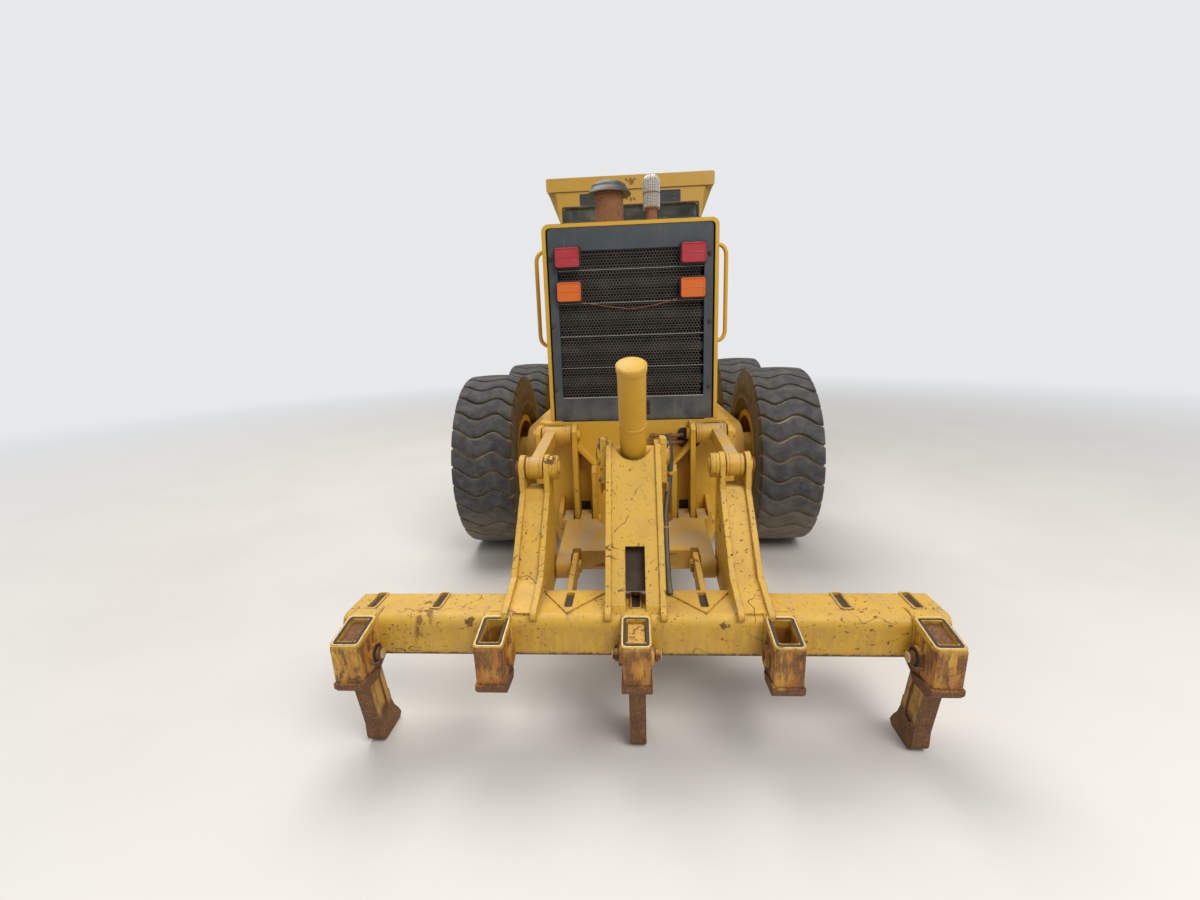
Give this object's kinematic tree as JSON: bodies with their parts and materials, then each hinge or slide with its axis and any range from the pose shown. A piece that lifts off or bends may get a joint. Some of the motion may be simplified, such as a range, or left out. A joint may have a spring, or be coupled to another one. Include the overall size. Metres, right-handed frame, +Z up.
{
  "type": "motor grader",
  "caption": "Articulated motor grader with a moldboard on a turning circle, a cab, tandem rear wheels and a rear ripper on a parallel linkage.",
  "frame": {"origin": "ground level under the middle of the bounding box", "axes": "+Y forward, +X to the operator's right, +Z up"},
  "size_m": [3.658, 9.972, 3.356],
  "materials": {
    "paint": "worn machine paint",
    "panel_black": "satin black paint",
    "tyre": "dusty rubber",
    "bare_steel": "worn bare steel",
    "rusty_steel": "rusted",
    "ground_steel": "scoured and rusted steel",
    "lamp": "moulded lens",
    "glass": "tinted pane",
    "trim_plastic": "moulded plastic",
    "engine_grey": "engine casting"
  },
  "bodies": {
    "rear_frame": {"rear_frame": "paint", "hood": "paint", "grille": "panel_black", "tail_lamps": "lamp", "radiator": "panel_black", "engine": "engine_grey", "exhaust": "rusty_steel", "air_intake": "rusty_steel", "rear_axle": "paint", "tandem_left": "paint", "tandem_right": "paint", "handrails": "paint"},
    "hood_door_left": {"hood_door_left": "paint"},
    "hood_door_right": {"hood_door_right": "paint"},
    "ripper": {"ripper_frame": "paint", "ripper_shanks": "ground_steel"},
    "ripper_lower_link": {"ripper_lower_link": "paint"},
    "ripper_upper_links": {"ripper_upper_links": "paint"},
    "ripper_barrel": {"ripper_barrel": "paint"},
    "ripper_rod": {"ripper_rod": "bare_steel"},
    "front_frame": {"front_frame": "paint", "cab": "paint", "cab_roof": "paint", "cab_glass": "glass", "seat": "trim_plastic", "console": "trim_plastic", "front_axle": "paint"},
    "cab_door_left": {"cab_door_left": "paint"},
    "cab_door_right": {"cab_door_right": "paint"},
    "knuckle_left": {"knuckle_left": "paint"},
    "knuckle_right": {"knuckle_right": "paint"},
    "tie_rod": {"tie_rod": "paint"},
    "drawbar": {"drawbar": "paint"},
    "circle": {"circle": "paint"},
    "tip_bracket": {"tip_bracket": "paint"},
    "moldboard": {"moldboard": "paint", "cutting_edge": "ground_steel"},
    "tip_barrel": {"tip_barrel": "paint"},
    "tip_rod": {"tip_rod": "bare_steel"},
    "lift_barrel_left": {"lift_barrel_left": "paint"},
    "lift_rod_left": {"lift_rod_left": "bare_steel"},
    "wheel_rear_left": {"tyre_rear_left": "tyre", "rim_rear_left": "paint"},
    "wheel_mid_left": {"tyre_mid_left": "tyre", "rim_mid_left": "paint"},
    "wheel_front_left": {"tyre_front_left": "tyre", "rim_front_left": "paint"},
    "lift_barrel_right": {"lift_barrel_right": "paint"},
    "lift_rod_right": {"lift_rod_right": "bare_steel"},
    "wheel_rear_right": {"tyre_rear_right": "tyre", "rim_rear_right": "paint"},
    "wheel_mid_right": {"tyre_mid_right": "tyre", "rim_mid_right": "paint"},
    "wheel_front_right": {"tyre_front_right": "tyre", "rim_front_right": "paint"}
  },
  "joints": [
    {"name": "articulation", "type": "hinge", "parent": "rear_frame", "child": "front_frame", "pos_m": [0, -0.391, 0.96], "axis": [0, 0, 1], "range_deg": [-20, 20]},
    {"name": "wheel_rear_left_spin", "type": "hinge", "parent": "rear_frame", "child": "wheel_rear_left", "pos_m": [-1.053, -2.561, 0.66], "axis": [1, 0, 0], "continuous": true},
    {"name": "wheel_mid_left_spin", "type": "hinge", "parent": "rear_frame", "child": "wheel_mid_left", "pos_m": [-1.053, -1.039, 0.66], "axis": [1, 0, 0], "continuous": true},
    {"name": "wheel_front_left_spin", "type": "hinge", "parent": "knuckle_left", "child": "wheel_front_left", "pos_m": [-1.053, 4.286, 0.66], "axis": [1, 0, 0], "continuous": true},
    {"name": "wheel_rear_right_spin", "type": "hinge", "parent": "rear_frame", "child": "wheel_rear_right", "pos_m": [1.053, -2.561, 0.66], "axis": [1, 0, 0], "continuous": true},
    {"name": "wheel_mid_right_spin", "type": "hinge", "parent": "rear_frame", "child": "wheel_mid_right", "pos_m": [1.053, -1.039, 0.66], "axis": [1, 0, 0], "continuous": true},
    {"name": "wheel_front_right_spin", "type": "hinge", "parent": "knuckle_right", "child": "wheel_front_right", "pos_m": [1.053, 4.286, 0.66], "axis": [1, 0, 0], "continuous": true},
    {"name": "steering_left", "type": "hinge", "parent": "front_frame", "child": "knuckle_left", "pos_m": [-0.72, 4.286, 0.66], "axis": [0, 0, 1], "range_deg": [-50, 50]},
    {"name": "steering_right", "type": "hinge", "parent": "front_frame", "child": "knuckle_right", "pos_m": [0.72, 4.286, 0.66], "axis": [0, 0, 1], "range_deg": [-50.5, 50.5]},
    {"name": "tie_rod_swing", "type": "hinge", "parent": "knuckle_left", "child": "tie_rod", "pos_m": [-0.72, 3.986, 0.578], "axis": [0, 0, 1], "range_deg": [-50.5, 50.5]},
    {"name": "ripper_lift", "type": "hinge", "parent": "rear_frame", "child": "ripper_lower_link", "pos_m": [0, -3.811, 0.58], "axis": [-1, 0, 0], "range_deg": [-30, 28]},
    {"name": "ripper_level", "type": "hinge", "parent": "ripper_lower_link", "child": "ripper", "pos_m": [0, -4.321, 0.53], "axis": [-1, 0, 0], "range_deg": [-28.5, 30.5]},
    {"name": "ripper_upper", "type": "hinge", "parent": "rear_frame", "child": "ripper_upper_links", "pos_m": [0, -3.811, 1.066], "axis": [-1, 0, 0], "range_deg": [-30.5, 28.5]},
    {"name": "ripper_barrel_swing", "type": "hinge", "parent": "ripper", "child": "ripper_barrel", "pos_m": [0, -4.341, 1.08], "axis": [-1, 0, 0], "range_deg": [-9.95, 9.32]},
    {"name": "ripper_rod_slide", "type": "slide", "parent": "ripper_barrel", "child": "ripper_rod", "axis": [0, 0.4871, -0.8734], "range_m": [-0.251, 0.234]},
    {"name": "drawbar_lift", "type": "hinge", "parent": "front_frame", "child": "drawbar", "pos_m": [0, 3.856, 0.93], "axis": [-1, 0, 0], "range_deg": [-19, 12.5]},
    {"name": "lift_barrel_left_swing", "type": "hinge", "parent": "front_frame", "child": "lift_barrel_left", "pos_m": [-0.47, 2.167, 1.8], "axis": [-1, 0, 0], "range_deg": [-9.61, 6.49]},
    {"name": "lift_rod_left_slide", "type": "slide", "parent": "lift_barrel_left", "child": "lift_rod_left", "axis": [0, -0.2545, -0.9671], "range_m": [-0.405, 0.613]},
    {"name": "lift_barrel_right_swing", "type": "hinge", "parent": "front_frame", "child": "lift_barrel_right", "pos_m": [0.47, 2.167, 1.8], "axis": [-1, 0, 0], "range_deg": [-9.61, 6.49]},
    {"name": "lift_rod_right_slide", "type": "slide", "parent": "lift_barrel_right", "child": "lift_rod_right", "axis": [0, -0.2545, -0.9671], "range_m": [-0.405, 0.613]},
    {"name": "circle_turn", "type": "hinge", "parent": "drawbar", "child": "circle", "pos_m": [0, 1.867, 0.8], "axis": [0, 0, 1], "continuous": true},
    {"name": "blade_tip", "type": "hinge", "parent": "circle", "child": "tip_bracket", "pos_m": [0, 1.391, 0.243], "axis": [-1, 0, 0], "range_deg": [-5, 40]},
    {"name": "tip_barrel_swing", "type": "hinge", "parent": "circle", "child": "tip_barrel", "pos_m": [0, 1.167, 0.69], "axis": [-1, 0, 0], "range_deg": [-8.92, 1.55]},
    {"name": "tip_rod_slide", "type": "slide", "parent": "tip_barrel", "child": "tip_rod", "axis": [0, 0.7481, -0.6636], "range_m": [-0.024, 0.158]},
    {"name": "blade_shift", "type": "slide", "parent": "tip_bracket", "child": "moldboard", "axis": [1, 0, 0], "range_m": [-0.51, 0.66]},
    {"name": "hood_door_left_open", "type": "hinge", "parent": "rear_frame", "child": "hood_door_left", "pos_m": [-0.481, -0.961, 1.72], "axis": [0, 0, -1], "range_deg": [0, 100]},
    {"name": "cab_door_left_open", "type": "hinge", "parent": "front_frame", "child": "cab_door_left", "pos_m": [-0.821, 0.059, 2.28], "axis": [0, 0, 1], "range_deg": [0, 90]},
    {"name": "hood_door_right_open", "type": "hinge", "parent": "rear_frame", "child": "hood_door_right", "pos_m": [0.481, -0.961, 1.72], "axis": [0, 0, 1], "range_deg": [0, 100]},
    {"name": "cab_door_right_open", "type": "hinge", "parent": "front_frame", "child": "cab_door_right", "pos_m": [0.821, 0.059, 2.28], "axis": [0, 0, -1], "range_deg": [0, 90]}
  ],
  "couplings": [
    {"joint": "steering_right", "follows": "steering_left", "ratio": 1},
    {"joint": "tie_rod_swing", "follows": "steering_left", "ratio": -1},
    {"joint": "ripper_level", "follows": "ripper_lift", "ratio": -1},
    {"joint": "ripper_upper", "follows": "ripper_lift", "ratio": 1},
    {"joint": "ripper_barrel_swing", "follows": "ripper_lift", "ratio": 0.31505},
    {"joint": "ripper_rod_slide", "follows": "ripper_lift", "m_per_rad": 0.46897},
    {"joint": "lift_barrel_left_swing", "follows": "drawbar_lift", "ratio": 0.47922},
    {"joint": "lift_rod_left_slide", "follows": "drawbar_lift", "m_per_rad": -1.8336},
    {"joint": "lift_barrel_right_swing", "follows": "drawbar_lift", "ratio": 0.47922},
    {"joint": "lift_rod_right_slide", "follows": "drawbar_lift", "m_per_rad": -1.8336},
    {"joint": "tip_barrel_swing", "follows": "blade_tip", "ratio": -0.2105},
    {"joint": "tip_rod_slide", "follows": "blade_tip", "m_per_rad": 0.21846}
  ]
}
